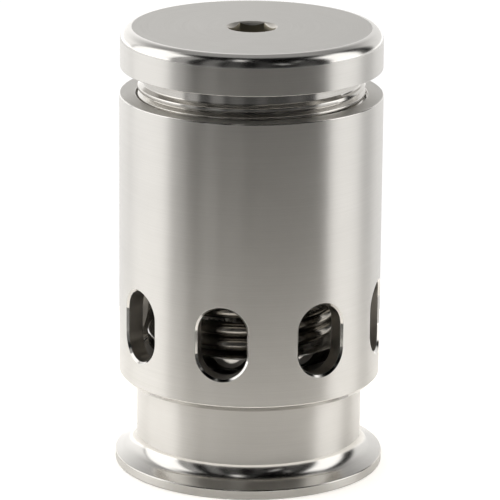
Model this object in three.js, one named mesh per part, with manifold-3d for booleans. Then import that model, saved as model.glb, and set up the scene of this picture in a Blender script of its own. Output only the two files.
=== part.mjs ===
// Adjustable pressure relief valve on a 3-inch sanitary clamp ferrule.
// Millimetres, +Z up. The valve stands on its ferrule: z = 0 is the ferrule's sealing face
// and the Z axis is the axis of every turned piece.
import * as THREE from 'three';
import { mergeVertices } from 'three/addons/utils/BufferGeometryUtils.js';
import Module from 'manifold-3d';

const wasm = await Module();
wasm.setup();

// ---------------------------------------------------------------- driving dimensions

const TAU = 2 * Math.PI;
const GAP = 0.3;                 // clearance kept between pieces that touch
const FINE = 32;                 // sides of the large turned pieces
const COARSE = 24;               // sides of the small inner pieces

// Clamp ferrule, standard 3-inch sizes
const FLANGE_R = 45.45;
const FLANGE_RIM = 3.2;
const FLANGE_ANGLE = THREE.MathUtils.degToRad(20);
const NECK_R = 38.1;
const NECK_FILLET = 5.8;
const TUBE_BORE_R = 36.4;
const GASKET_GROOVE = { r: 42.0, half: 1.4, depth: 1.5 };

// Vent housing
const HOUSING_R = 44.15;
const HOUSING_Z = [29.8, 128.0];
const HOUSING_CHAMFER = 2.0;
const CHAMBER_R = 38.1;
const SPIGOT_R = 36.9;
const FLOOR_Z = 38.0;
const SLOTS = 8;
const SLOT_WIDTH = 16.6;
const SLOT_Z = [41.0, 65.1];
const HOUSING_SEAL = { r: 36.3, z: 33.7, section: 0.6, groove: [32.4, 35.0], grooveR: 35.4 };

// Adjusting thread, 76 mm by 3 mm pitch, right-handed
const PITCH = 3;
const THREAD_R = 38.0;
const THREAD_ROOT_R = 36.3;
const THREAD_CREST = 1.2;        // width of the flat crest
const THREAD_FLANK = 0.9;        // height of one flank
const THREAD_FREE_R = 0.35;      // radial clearance at the housing's thread root
const THREAD_FREE_Z = 0.2;       // and above and below the cap's crest
const HOUSING_CREST_R = 36.8;
const HOUSING_THREAD_FOOT = 107;
const HELIX_FOOT = HOUSING_THREAD_FOOT - 4 * PITCH;   // where a crest crosses +X
const RELIEF = { r: 38.9, foot: 103.2 };              // run-out groove under the thread
const MOUTH_R = 38.75;

// Cap
const CAP_R = 43.9;
const CAP_Z = [137.1, 150.4];
const CAP_FILLET = 3.9;
const CAP_NECK_R = 36.4;
const CAP_THREAD_Z = [113.7, 132.2];
const SKIRT_BORE_R = 32.5;
const WEB_Z = 133.0;
const GUIDE_BOSS = { r: 11, foot: 108, bore: 9, step: 126, top: 138, stemR: 7.5 };
const CIRCLIP = { innerR: 7.7, outerR: 9.3, bottom: 109.3, top: 110.1, opening: 50 };
const HEX_ACROSS_FLATS = 14;
const HEX_DEPTH = 8;
const CAP_REST_ANGLE = THREE.MathUtils.degToRad(12);
const THRUST_WASHER = { innerR: 12, outerR: 23, bottom: 131.3, top: 132.7 };

// Radial nylon plug that drags on the housing's thread and holds the setting
const PLUG_R = 2.0;
const PLUG_Z = 118.5;

// Seat, poppet and stem
const THROAT_R = 21.6;
const SEAT_R = 25.8;
const SEAT_FOOT = 33.0;
const DISC_R = 34.5;
const DISC_Z = [38.6, 45.6];
const DISC_RIM_FOOT = 41.4;      // underside of the wide rim
const DISC_LIP_R = [25.5, 27.0]; // inside and outside of the lip round the seal
const DISC_RECESS_Z = 41.0;
const SPRING_PILOT_R = 25.1;     // bosses that centre the spring's ends
const DISC_BOSS_Z = 48.6;
const POPPET_SEAL = { r: 24.0, z: 39.45, section: 1.15 };
const STUD_R = 4.0;
const STUD_FOOT = 22.5;
const STEM_R = 6.5;
const STEM_TOP = 120;
const COLLAR_R = 9;
const COLLAR_TOP = 52.2;

// Plate that clamps the seal, with four wings that slide in the throat
const WING_GUIDE = { plateR: 22.4, plateZ: [38.7, 40.7], hubR: 7, hubFoot: 30, wingR: 21.2 };
const WING_FOOT = 26;
const WING_THICK = 2.5;
const WING_INNER_R = 9.6;        // the wings' feet clear the nut inside this
const NUT = { acrossFlats: 13, bottom: 23.8, top: 27.8 };
const LOCK_WASHER = { outerR: 6.8, bottom: 28.1, top: 29.7, opening: 16 };

// Spring
const WIRE_R = 2.5;
const COIL_R = 28.0;
const ACTIVE_TURNS = 9;
const END_TURNS = 1.25;
const END_PITCH = 5.2;
const SPRING_START = THREE.MathUtils.degToRad(230);
const SPRING_Z = [DISC_Z[1] + GAP, 127.7];
const SPRING_SEAT = { outerR: 31.2, thick: 3, pilot: 3.5 };

// ---------------------------------------------------------------- solids

// A closed, merged solid from any three.js geometry.
function solid(geometry) {
  geometry.deleteAttribute('normal');
  geometry.deleteAttribute('uv');
  const merged = mergeVertices(geometry, 1e-4);
  const corners = merged.index.array;
  const triangles = [];
  for (let i = 0; i < corners.length; i += 3) {
    const [a, b, c] = [corners[i], corners[i + 1], corners[i + 2]];
    if (a !== b && b !== c && c !== a) triangles.push(a, b, c);
  }
  return new wasm.Manifold(new wasm.Mesh({
    numProp: 3,
    vertProperties: Float32Array.from(merged.attributes.position.array),
    triVerts: Uint32Array.from(triangles),
  }));
}

function geometryOf(body) {
  const mesh = body.getMesh();
  const geometry = new THREE.BufferGeometry();
  geometry.setAttribute('position', new THREE.BufferAttribute(mesh.vertProperties, 3));
  geometry.setIndex(new THREE.BufferAttribute(mesh.triVerts, 1));
  geometry.computeVertexNormals();
  return geometry;
}

// A solid of revolution about Z from an outline of [radius, z] points, in either order.
function turned(outline, sides = FINE) {
  let area = 0;
  outline.forEach(([r, z], i) => {
    const [nextR, nextZ] = outline[(i + 1) % outline.length];
    area += r * nextZ - nextR * z;
  });
  const points = area > 0 ? [...outline] : [...outline].reverse();
  points.push(points[0]);
  const profile = points.map(([r, z]) => new THREE.Vector2(r, z));
  return solid(new THREE.LatheGeometry(profile, sides).rotateX(Math.PI / 2));
}

function ring(innerR, outerR, bottom, top, sides = FINE) {
  return turned([[innerR, bottom], [outerR, bottom], [outerR, top], [innerR, top]], sides);
}

function disc(r, bottom, top, sides = FINE) {
  return turned([[0, bottom], [r, bottom], [r, top], [0, top]], sides);
}

// A straight prism on a flat outline, from z = bottom to z = top.
function prism(shape, bottom, top, arcSteps = 1) {
  const options = { depth: top - bottom, bevelEnabled: false, curveSegments: arcSteps };
  return solid(new THREE.ExtrudeGeometry(shape, options).translate(0, 0, bottom));
}

function polygon(sides, acrossFlats, turn = 0) {
  const r = acrossFlats / 2 / Math.cos(Math.PI / sides);
  const shape = new THREE.Shape();
  for (let i = 0; i < sides; i++) {
    const angle = turn + i * TAU / sides;
    shape[i ? 'lineTo' : 'moveTo'](r * Math.cos(angle), r * Math.sin(angle));
  }
  return shape;
}

// Points of a quarter or smaller arc, in the outline plane.
function arc(r, z, radius, from, to, steps) {
  return Array.from({ length: steps + 1 }, (_, i) => {
    const angle = THREE.MathUtils.degToRad(from + (to - from) * i / steps);
    return [r + radius * Math.cos(angle), z + radius * Math.sin(angle)];
  });
}

// An O-ring: a torus about Z.
function oRing({ r, z, section }) {
  const outline = arc(r, z, section, 0, 360, 8);
  outline.pop();
  return turned(outline, COARSE);
}

// A threaded rod. flanks lists the [offset, radius] corners of one pitch; the rows of
// corners climb one pitch per turn, so the surface closes on itself after every turn.
function threadedRod(flanks, bottom, turns) {
  const perPitch = flanks.length;
  const rows = perPitch * turns;
  const positions = [];
  const columnStart = [];
  for (let column = 0; column < FINE; column++) {
    columnStart.push(positions.length / 3);
    const angle = column * TAU / FINE;
    const last = column === 0 ? rows + perPitch : rows;
    for (let row = 0; row <= last; row++) {
      const [offset, r] = flanks[row % perPitch];
      const z = bottom + offset + PITCH * (Math.floor(row / perPitch) + column / FINE);
      positions.push(r * Math.cos(angle), r * Math.sin(angle), z);
    }
  }
  const at = (column, row) => (
    column === FINE ? columnStart[0] + row + perPitch : columnStart[column] + row
  );
  const foot = positions.length / 3;
  positions.push(0, 0, bottom - 2 * PITCH);
  const head = foot + 1;
  positions.push(0, 0, bottom + (turns + 3) * PITCH);
  const triangles = [];
  for (let column = 0; column < FINE; column++) {
    for (let row = 0; row < rows; row++) {
      const [a, b] = [at(column, row), at(column + 1, row)];
      triangles.push(a, b, b + 1, a, b + 1, a + 1);
    }
    triangles.push(at(column + 1, 0), at(column, 0), foot);
    triangles.push(at(column, rows), at(column + 1, rows), head);
  }
  for (let row = 0; row < perPitch; row++) {
    triangles.push(at(0, row), at(0, row + 1), foot);
    triangles.push(at(0, rows + row + 1), at(0, rows + row), head);
  }
  return new wasm.Manifold(new wasm.Mesh({
    numProp: 3,
    vertProperties: Float32Array.from(positions),
    triVerts: Uint32Array.from(triangles),
  }));
}

// ---------------------------------------------------------------- pieces on the base

// Flange with its 20 degree clamping cone and gasket groove, thin neck, conical inlet,
// throat, counterbore for the seat, and the spigot that the housing is screwed onto.
function baseFerrule() {
  const slope = Math.tan(FLANGE_ANGLE);
  const filletR = NECK_R + NECK_FILLET;
  const startAngle = THREE.MathUtils.radToDeg(FLANGE_ANGLE);
  // the fillet's centre lies one fillet radius from both the cone and the neck
  const coneAtCentre = FLANGE_RIM + (FLANGE_R - filletR) * slope;
  const filletZ = coneAtCentre + NECK_FILLET / Math.cos(FLANGE_ANGLE);
  const groove = GASKET_GROOVE;
  const sealGroove = HOUSING_SEAL.groove;
  return turned([
    [TUBE_BORE_R, 0],
    [groove.r - groove.half, 0],
    [groove.r - groove.half * 0.5, groove.depth],
    [groove.r + groove.half * 0.5, groove.depth],
    [groove.r + groove.half, 0],
    [FLANGE_R, 0],
    [FLANGE_R, FLANGE_RIM],
    ...arc(filletR, filletZ, NECK_FILLET, 270 - startAngle, 180, 4),
    [NECK_R, HOUSING_Z[0] - GAP],
    [SPIGOT_R, HOUSING_Z[0] - GAP],
    [SPIGOT_R, sealGroove[0]],
    [HOUSING_SEAL.grooveR, sealGroove[0]],
    [HOUSING_SEAL.grooveR, sealGroove[1]],
    [SPIGOT_R, sealGroove[1]],
    [SPIGOT_R, FLOOR_Z - 0.4],
    [SPIGOT_R - 0.4, FLOOR_Z],
    [SEAT_R + GAP, FLOOR_Z],
    [SEAT_R + GAP, SEAT_FOOT - GAP],
    [THROAT_R, SEAT_FOOT - GAP],
    [THROAT_R, 29.5],
    [TUBE_BORE_R, 18],
  ]);
}

function seatInsert() {
  return turned([
    [THROAT_R, SEAT_FOOT],
    [SEAT_R - 0.5, SEAT_FOOT],
    [SEAT_R, SEAT_FOOT + 0.5],
    [SEAT_R, FLOOR_Z],
    [THROAT_R + 0.5, FLOOR_Z],
    [THROAT_R, FLOOR_Z - 0.5],
  ], COARSE);
}

// One obround vent slot through the wall, pointing along -Y.
function slotCutter() {
  const half = SLOT_WIDTH / 2;
  const shape = new THREE.Shape();
  shape.absarc(0, SLOT_Z[1] - half, half, 0, Math.PI, false);
  shape.absarc(0, SLOT_Z[0] + half, half, Math.PI, TAU, false);
  const options = { depth: 20, bevelEnabled: false, curveSegments: 10 };
  const geometry = new THREE.ExtrudeGeometry(shape, options).rotateX(Math.PI / 2);
  return solid(geometry.translate(0, -30, 0));
}

// Thread corners of the cap, and of the wider space for them in the housing.
const THREAD_ROOT = THREAD_CREST + THREAD_FLANK;
const CAP_FLANKS = [[0, THREAD_R], [THREAD_CREST, THREAD_R], [THREAD_ROOT, THREAD_ROOT_R]];
const HOUSING_FLANKS = [
  [-THREAD_FREE_Z, THREAD_R + THREAD_FREE_R],
  [THREAD_CREST + THREAD_FREE_Z, THREAD_R + THREAD_FREE_R],
  [THREAD_ROOT, HOUSING_CREST_R],
];

function ventHousing() {
  const [foot, top] = HOUSING_Z;
  const mouthDepth = MOUTH_R - HOUSING_CREST_R;
  const reliefDepth = RELIEF.r - CHAMBER_R;
  let housing = turned([
    [SPIGOT_R + GAP, foot],
    [HOUSING_R - HOUSING_CHAMFER, foot],
    [HOUSING_R, foot + HOUSING_CHAMFER],
    [HOUSING_R, top - 0.3],
    [HOUSING_R - 0.3, top],
    [MOUTH_R, top],
    [HOUSING_CREST_R, top - mouthDepth],
    [HOUSING_CREST_R, HOUSING_THREAD_FOOT],
    [RELIEF.r, HOUSING_THREAD_FOOT],
    [RELIEF.r, RELIEF.foot],
    [CHAMBER_R, RELIEF.foot - reliefDepth],
    [CHAMBER_R, FLOOR_Z + GAP],
    [SPIGOT_R + GAP, FLOOR_Z + GAP],
  ]);
  const threadZone = disc(HOUSING_R - 3, HOUSING_THREAD_FOOT - 0.5, top + 1);
  const rod = threadedRod(HOUSING_FLANKS, HELIX_FOOT, 13);
  housing = housing.subtract(rod.intersect(threadZone));
  const cutter = slotCutter();
  for (let i = 0; i < SLOTS; i++) {
    housing = housing.subtract(cutter.rotate([0, 0, i * 360 / SLOTS]));
  }
  return housing;
}

// ---------------------------------------------------------------- poppet group

// Wide disc, with a lip that holds the seal over the seat and a boss inside the spring.
function poppetDisc() {
  const [foot, top] = DISC_Z;
  const [lipInner, lipOuter] = DISC_LIP_R;
  return turned([
    [STUD_R + GAP, DISC_RECESS_Z],
    [lipInner, DISC_RECESS_Z],
    [lipInner, foot],
    [lipOuter, foot],
    [lipOuter, DISC_RIM_FOOT],
    [DISC_R - 0.3, DISC_RIM_FOOT],
    [DISC_R, DISC_RIM_FOOT + 0.3],
    [DISC_R, top - 0.5],
    [DISC_R - 0.5, top],
    [SPRING_PILOT_R, top],
    [SPRING_PILOT_R, DISC_BOSS_Z - 0.8],
    [SPRING_PILOT_R - 0.8, DISC_BOSS_Z],
    [STUD_R + GAP, DISC_BOSS_Z],
  ], COARSE);
}

function wingGuide() {
  const { plateR, plateZ, hubR, hubFoot, wingR } = WING_GUIDE;
  let guide = disc(plateR, plateZ[0], plateZ[1]).add(disc(hubR, hubFoot, plateZ[0] + 1));
  const cross = new THREE.Shape();
  const half = WING_THICK / 2;
  cross.moveTo(-wingR + 1, -half).lineTo(wingR - 1, -half).lineTo(wingR - 1, half);
  cross.lineTo(-wingR + 1, half);
  const blade = prism(cross, WING_FOOT, plateZ[0] + 1);
  const envelope = turned([
    [0, hubFoot],
    [WING_INNER_R, hubFoot],
    [WING_INNER_R, WING_FOOT],
    [wingR - 1.5, WING_FOOT],
    [wingR, WING_FOOT + 1.5],
    [wingR, plateZ[0] + 1],
    [0, plateZ[0] + 1],
  ]);
  for (const turn of [0, 90]) guide = guide.add(blade.rotate([0, 0, turn]).intersect(envelope));
  return guide.subtract(disc(STUD_R + GAP, STUD_FOOT, DISC_BOSS_Z, COARSE));
}

function poppetStem() {
  return turned([
    [0, STUD_FOOT],
    [STUD_R - 0.6, STUD_FOOT],
    [STUD_R, STUD_FOOT + 0.6],
    [STUD_R, DISC_BOSS_Z + GAP],
    [COLLAR_R - 0.4, DISC_BOSS_Z + GAP],
    [COLLAR_R, DISC_BOSS_Z + GAP + 0.4],
    [COLLAR_R, COLLAR_TOP - 0.6],
    [COLLAR_R - 0.6, COLLAR_TOP],
    [STEM_R, COLLAR_TOP],
    [STEM_R, STEM_TOP - 0.8],
    [STEM_R - 0.8, STEM_TOP],
    [0, STEM_TOP],
  ], COARSE);
}

// ---------------------------------------------------------------- spring

// Coil with closed ends: the pitch grows from the end pitch to the working pitch.
class CoilCurve extends THREE.Curve {
  constructor() {
    super();
    this.arcLengthDivisions = 3000;
    this.turns = ACTIVE_TURNS + 2 * END_TURNS;
    this.bottom = SPRING_Z[0] + WIRE_R;
    this.rise = SPRING_Z[1] - SPRING_Z[0] - 2 * WIRE_R;
  }

  heightAt(turn) {
    const activeRise = this.rise - 2 * END_TURNS * END_PITCH;
    const share = THREE.MathUtils.clamp((turn - END_TURNS) / ACTIVE_TURNS, 0, 1);
    const ends = Math.min(turn, END_TURNS) + Math.max(turn - END_TURNS - ACTIVE_TURNS, 0);
    return this.bottom + ends * END_PITCH + activeRise * share;
  }

  getPoint(t, target = new THREE.Vector3()) {
    const turn = t * this.turns;
    const angle = SPRING_START + turn * TAU;
    return target.set(COIL_R * Math.cos(angle), COIL_R * Math.sin(angle), this.heightAt(turn));
  }
}

function spring() {
  const options = { steps: 144, extrudePath: new CoilCurve(), bevelEnabled: false };
  const section = polygon(6, 2 * WIRE_R * Math.cos(Math.PI / 6));
  return solid(new THREE.ExtrudeGeometry(section, options));
}

// ---------------------------------------------------------------- cap group

function adjustingCap() {
  const [foot, top] = CAP_Z;
  const [threadFoot, threadTop] = CAP_THREAD_Z;
  const boss = GUIDE_BOSS;
  let cap = turned([
    [0, boss.top],
    [boss.stemR, boss.top],
    [boss.stemR, boss.step],
    [boss.bore, boss.step],
    [boss.bore, boss.foot + 2.4],
    [boss.bore + 0.6, boss.foot + 2.4],
    [boss.bore + 0.6, boss.foot + 1.0],
    [boss.bore, boss.foot + 1.0],
    [boss.bore, boss.foot],
    [boss.r, boss.foot],
    [boss.r, WEB_Z],
    [SKIRT_BORE_R, WEB_Z],
    [SKIRT_BORE_R, threadFoot],
    [THREAD_R - 1.6, threadFoot],
    [THREAD_R, threadFoot + 1.6],
    [THREAD_R, threadTop - 0.5],
    [CAP_NECK_R, threadTop + 0.5],
    [CAP_NECK_R, foot],
    [CAP_R - 0.3, foot],
    [CAP_R, foot + 0.3],
    ...arc(CAP_R - CAP_FILLET, top - CAP_FILLET, CAP_FILLET, 0, 90, 6),
    [0, top],
  ]);
  const rod = threadedRod(CAP_FLANKS, HELIX_FOOT, 15);
  const runOut = threadTop + 0.6;
  const grooves = ring(SKIRT_BORE_R + 1, HOUSING_R, threadFoot - 1, runOut).subtract(rod);
  cap = cap.subtract(grooves);
  const hexagon = polygon(6, HEX_ACROSS_FLATS, CAP_REST_ANGLE);
  cap = cap.subtract(prism(hexagon, top - HEX_DEPTH, top + 5));
  const cornerR = HEX_ACROSS_FLATS / 2 / Math.cos(Math.PI / 6);
  cap = cap.subtract(turned([
    [0, top - 1.2],
    [cornerR - 0.9, top - 1.2],
    [cornerR + 0.5, top + 0.2],
    [0, top + 0.2],
  ], COARSE));
  return cap.subtract(plug(PLUG_R + GAP, SKIRT_BORE_R - 2, HOUSING_R));
}

// A short round bar along +Y at the locking plug's height.
function plug(r, inner, outer) {
  const length = outer - inner;
  const geometry = new THREE.CylinderGeometry(r, r, length, 12);
  return solid(geometry.translate(0, inner + length / 2, PLUG_Z));
}

function spreadRing(innerR, outerR, opening, bottom, top) {
  const half = THREE.MathUtils.degToRad(opening / 2);
  const shape = new THREE.Shape();
  shape.absarc(0, 0, outerR, half, TAU - half, false);
  shape.absarc(0, 0, innerR, TAU - half, half, true);
  return prism(shape, bottom, top, 20);
}

function guideBushing() {
  const foot = GUIDE_BOSS.foot + 2.7;
  const top = GUIDE_BOSS.step - GAP;
  const bore = STEM_R + GAP;
  return turned([
    [bore + 0.4, foot],
    [GUIDE_BOSS.bore - GAP, foot],
    [GUIDE_BOSS.bore - GAP, top],
    [bore + 0.4, top],
    [bore, top - 0.4],
    [bore, foot + 0.4],
  ], COARSE);
}

function upperSpringSeat() {
  const under = SPRING_Z[1] + GAP;
  const bore = GUIDE_BOSS.r + 0.8;
  const pilotFoot = under - SPRING_SEAT.pilot;
  return turned([
    [bore, pilotFoot],
    [SPRING_PILOT_R - 0.8, pilotFoot],
    [SPRING_PILOT_R, pilotFoot + 0.8],
    [SPRING_PILOT_R, under],
    [SPRING_SEAT.outerR, under],
    [SPRING_SEAT.outerR, under + SPRING_SEAT.thick],
    [bore, under + SPRING_SEAT.thick],
  ], COARSE);
}

function lockWasher() {
  const { outerR, bottom, top, opening } = LOCK_WASHER;
  return spreadRing(STUD_R + GAP, outerR, opening, bottom, top);
}

function stemNut() {
  const blank = prism(polygon(6, NUT.acrossFlats), NUT.bottom, NUT.top);
  return blank.subtract(disc(STUD_R + GAP, NUT.bottom - 1, NUT.top + 1, COARSE));
}

function thrustWasher() {
  const { innerR, outerR, bottom, top } = THRUST_WASHER;
  return ring(innerR, outerR, bottom, top, COARSE);
}

function circlip() {
  const { innerR, outerR, bottom, top, opening } = CIRCLIP;
  return spreadRing(innerR, outerR, opening, bottom, top);
}

// ---------------------------------------------------------------- assembly

const STEEL = { color: 0xb9b7b2, roughness: 0.32, metalness: 1 };
const INNER_STEEL = { color: 0xa9a7a1, roughness: 0.4, metalness: 1 };
const SPRING_STEEL = { color: 0x9b958c, roughness: 0.35, metalness: 1 };
const PTFE = { color: 0xe8e6df, roughness: 0.6, metalness: 0 };
const BRONZE = { color: 0xa87c45, roughness: 0.45, metalness: 1 };
const RUBBER = { color: 0x1d1c1b, roughness: 0.75, metalness: 0 };
const NYLON = { color: 0x2f66a8, roughness: 0.55, metalness: 0 };

const pieces = [
  ['base_ferrule', baseFerrule(), STEEL],
  ['vent_housing', ventHousing(), STEEL],
  ['housing_seal', oRing(HOUSING_SEAL), RUBBER],
  ['seat_insert', seatInsert(), PTFE],
  ['poppet_disc', poppetDisc(), INNER_STEEL],
  ['poppet_seal', oRing(POPPET_SEAL), RUBBER],
  ['wing_guide', wingGuide(), INNER_STEEL],
  ['lock_washer', lockWasher(), SPRING_STEEL],
  ['stem_nut', stemNut(), INNER_STEEL],
  ['poppet_stem', poppetStem(), INNER_STEEL],
  ['spring', spring(), SPRING_STEEL],
  ['upper_spring_seat', upperSpringSeat(), INNER_STEEL],
  ['thrust_washer', thrustWasher(), BRONZE],
  ['adjusting_cap', adjustingCap(), STEEL],
  ['guide_bushing', guideBushing(), BRONZE],
  ['bushing_circlip', circlip(), SPRING_STEEL],
  ['locking_plug', plug(PLUG_R, SKIRT_BORE_R + 0.5, THREAD_ROOT_R - 0.3), NYLON],
];

const valve = new THREE.Group();
for (const [name, body, look] of pieces) {
  const mesh = new THREE.Mesh(geometryOf(body), new THREE.MeshStandardMaterial(look));
  mesh.name = name;
  valve.add(mesh);
}

export default valve;
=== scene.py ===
"""Pressure relief valve on a 3-inch clamp ferrule: fine meshes and materials around the CAD frame."""
import math

import bmesh
import bpy
import numpy as np
from mathutils import Matrix, Vector


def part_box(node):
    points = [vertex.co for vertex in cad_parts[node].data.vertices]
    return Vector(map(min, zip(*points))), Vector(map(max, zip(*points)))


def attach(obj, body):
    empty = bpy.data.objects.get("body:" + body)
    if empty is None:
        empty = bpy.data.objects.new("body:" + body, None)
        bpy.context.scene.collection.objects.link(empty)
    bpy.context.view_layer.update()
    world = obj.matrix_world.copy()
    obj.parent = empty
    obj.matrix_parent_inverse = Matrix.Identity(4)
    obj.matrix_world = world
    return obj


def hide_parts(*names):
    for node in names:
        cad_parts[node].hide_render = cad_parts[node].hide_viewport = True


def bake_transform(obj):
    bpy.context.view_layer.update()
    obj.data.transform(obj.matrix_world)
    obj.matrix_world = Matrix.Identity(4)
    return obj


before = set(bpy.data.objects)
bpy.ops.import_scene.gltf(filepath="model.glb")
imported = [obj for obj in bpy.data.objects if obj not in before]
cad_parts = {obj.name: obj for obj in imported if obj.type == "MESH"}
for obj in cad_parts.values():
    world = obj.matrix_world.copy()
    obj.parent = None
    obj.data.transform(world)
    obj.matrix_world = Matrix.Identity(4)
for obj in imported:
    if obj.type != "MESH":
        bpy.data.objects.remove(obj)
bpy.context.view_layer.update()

MM = 0.001
TAU = 2 * math.pi
PITCH = 3.0                      # adjusting thread, mm per turn
CAMERA_TURN = math.radians(12)   # how far the camera stands to the right of the -Y slot

NOISE_MIDDLE = (0.3, 0.7)        # the part of a noise's range that carries its contrast
GRAIN_DEPTH = 0.00002            # m, of machining marks
MOULD_DEPTH = 0.00005            # m, of moulding texture
FLAT_TURN = 0.02                 # radians; a corner that turns less isn't rounded
ARC_SHARE = 0.48                 # of its shorter side, the most that a corner's rounding takes
COARSE_STEPS, FINE_STEPS = 5, 22  # arc steps per radian, the fine ones above 1 mm radius
WELD, DEGENERATE = 1e-6, 1e-7    # m, for merging points and dropping collapsed edges

# ------------------------------------------------------------------ sizes, in mm, from the frame


def span(node):
    """Outer radius, lowest z and highest z of a CAD node, in mm."""
    low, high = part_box(node)
    return max(high.x, high.y) / MM, low.z / MM, high.z / MM


HOUSING_R, HOUSING_FOOT, HOUSING_TOP = span("vent_housing")
FLANGE_R, _, SPIGOT_TOP = span("base_ferrule")
CAP_R, SKIRT_FOOT, CAP_TOP = span("adjusting_cap")
DISC_R, DISC_FOOT, DISC_BOSS_TOP = span("poppet_disc")
_, SPRING_FOOT, SPRING_TOP = span("spring")
_, STUD_FOOT, STEM_TOP = span("poppet_stem")
SEAT_R, SEAT_FOOT, SEAT_TOP = span("seat_insert")
SPRING_SEAT_R, SPRING_SEAT_FOOT, SPRING_SEAT_TOP = span("upper_spring_seat")
WASHER_R, WASHER_FOOT, WASHER_TOP = span("thrust_washer")

# ------------------------------------------------------------------ node materials


class Shader:
    """A material whose nodes are added one by one."""

    def __init__(self, name):
        self.material = bpy.data.materials.new(name)
        self.material.use_nodes = True
        self.tree = self.material.node_tree
        self.tree.nodes.clear()
        self.output = self.node("ShaderNodeOutputMaterial")
        self.bsdf = self.node("ShaderNodeBsdfPrincipled")
        self.link(self.bsdf.outputs["BSDF"], self.output.inputs["Surface"])

    def node(self, kind, **values):
        made = self.tree.nodes.new(kind)
        for key, value in values.items():
            if hasattr(made, key):
                setattr(made, key, value)
            else:
                made.inputs[key.replace("_", " ")].default_value = value
        return made

    def link(self, output, socket):
        self.tree.links.new(output, socket)

    def math(self, operation, a, b=0.0):
        made = self.node("ShaderNodeMath", operation=operation)
        for socket, value in zip(made.inputs, (a, b)):
            if isinstance(value, (int, float)):
                socket.default_value = value
            else:
                self.link(value, socket)
        return made.outputs[0]

    def spread(self, noise, to_low, to_high):
        """Spreads the middle of a noise over a range of values."""
        made = self.node("ShaderNodeMapRange")
        self.link(noise, made.inputs[0])
        for socket, number in zip(made.inputs[1:5], (*NOISE_MIDDLE, to_low, to_high)):
            socket.default_value = number
        return made.outputs[0]

    def object_point(self):
        return self.node("ShaderNodeTexCoord").outputs["Object"]

    def noise(self, vector, scale, detail=3.0, roughness=0.5, w=None):
        made = self.node("ShaderNodeTexNoise")
        made.noise_dimensions = "4D" if w is not None else "3D"
        self.link(vector, made.inputs["Vector"])
        if w is not None:
            self.link(w, made.inputs["W"])
        made.inputs["Scale"].default_value = scale
        made.inputs["Detail"].default_value = detail
        made.inputs["Roughness"].default_value = roughness
        return made.outputs["Fac"]

    def turned_grain(self, along, around):
        """Noise stretched round Z: quick along the radius and Z, slow round the axis."""
        split = self.node("ShaderNodeSeparateXYZ")
        self.link(self.object_point(), split.inputs[0])
        x, y, z = split.outputs
        square = self.math("ADD", self.math("MULTIPLY", x, x), self.math("MULTIPLY", y, y))
        radius = self.math("SQRT", square)
        safe = self.math("MAXIMUM", radius, 1e-5)
        mixed = self.node("ShaderNodeCombineXYZ")
        self.link(self.math("MULTIPLY", self.math("DIVIDE", x, safe), around), mixed.inputs[0])
        self.link(self.math("MULTIPLY", self.math("DIVIDE", y, safe), around), mixed.inputs[1])
        self.link(self.math("MULTIPLY", radius, along), mixed.inputs[2])
        return self.noise(mixed.outputs[0], 1.0, 2.0, 0.6, w=self.math("MULTIPLY", z, along))

    def bump(self, height, strength, distance):
        made = self.node("ShaderNodeBump")
        made.inputs["Strength"].default_value = strength
        made.inputs["Distance"].default_value = distance
        self.link(height, made.inputs["Height"])
        return made.outputs["Normal"]

    def tint(self, factor, dark, light):
        made = self.node("ShaderNodeMix", data_type="RGBA")
        self.link(factor, made.inputs["Factor"])
        made.inputs["A"].default_value = (*dark, 1)
        made.inputs["B"].default_value = (*light, 1)
        return made.outputs["Result"]


def turned_metal(name, light, dark, rough, anisotropy, lines, bump, grain=9000.0):
    """Metal with fine rings round Z, uneven polish, and reflections smeared across the rings."""
    s = Shader(name)
    fine = s.turned_grain(grain, 1.2)
    broad = s.turned_grain(grain / 12, 2.5)
    cloud = s.noise(s.object_point(), 45.0, 4.0, 0.6)
    shade = s.math("ADD", s.math("MULTIPLY", fine, 0.6), s.math("MULTIPLY", cloud, 0.4))
    s.link(s.tint(s.spread(shade, 0.0, 1.0), dark, light), s.bsdf.inputs["Base Color"])
    uneven = s.math("ADD", s.math("MULTIPLY", broad, 0.5), s.math("MULTIPLY", cloud, 0.5))
    s.link(s.spread(uneven, rough - lines, rough + lines), s.bsdf.inputs["Roughness"])
    s.bsdf.inputs["Metallic"].default_value = 1.0
    s.bsdf.inputs["Anisotropic"].default_value = anisotropy
    s.bsdf.inputs["Anisotropic Rotation"].default_value = 0.25
    tangent = s.node("ShaderNodeTangent", direction_type="RADIAL", axis="Z")
    s.link(tangent.outputs[0], s.bsdf.inputs["Tangent"])
    s.link(s.bump(fine, bump, GRAIN_DEPTH), s.bsdf.inputs["Normal"])
    return s.material


def plain_metal(name, light, dark, rough, bump, scale=900.0):
    """Metal with no lay of its own: drawn wire, milled and bevelled edges, broached socket."""
    s = Shader(name)
    fine = s.noise(s.object_point(), scale, 4.0, 0.6)
    cloud = s.noise(s.object_point(), 60.0, 3.0, 0.5)
    s.link(s.tint(s.spread(cloud, 0.0, 1.0), dark, light), s.bsdf.inputs["Base Color"])
    s.link(s.spread(fine, rough * 0.8, rough * 1.25), s.bsdf.inputs["Roughness"])
    s.bsdf.inputs["Metallic"].default_value = 1.0
    s.link(s.bump(fine, bump, GRAIN_DEPTH), s.bsdf.inputs["Normal"])
    return s.material


def soft_plastic(name, light, dark, rough, bump, sheen=0.0):
    """Rubber, PTFE or nylon: mottled, slightly uneven, with faint moulding or turning texture."""
    s = Shader(name)
    fine = s.noise(s.object_point(), 1400.0, 5.0, 0.6)
    cloud = s.noise(s.object_point(), 120.0, 3.0, 0.5)
    s.link(s.tint(s.spread(cloud, 0.0, 1.0), dark, light), s.bsdf.inputs["Base Color"])
    s.link(s.spread(fine, rough - 0.08, rough + 0.08), s.bsdf.inputs["Roughness"])
    s.bsdf.inputs["Sheen Weight"].default_value = sheen
    s.link(s.bump(fine, bump, MOULD_DEPTH), s.bsdf.inputs["Normal"])
    return s.material


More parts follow.
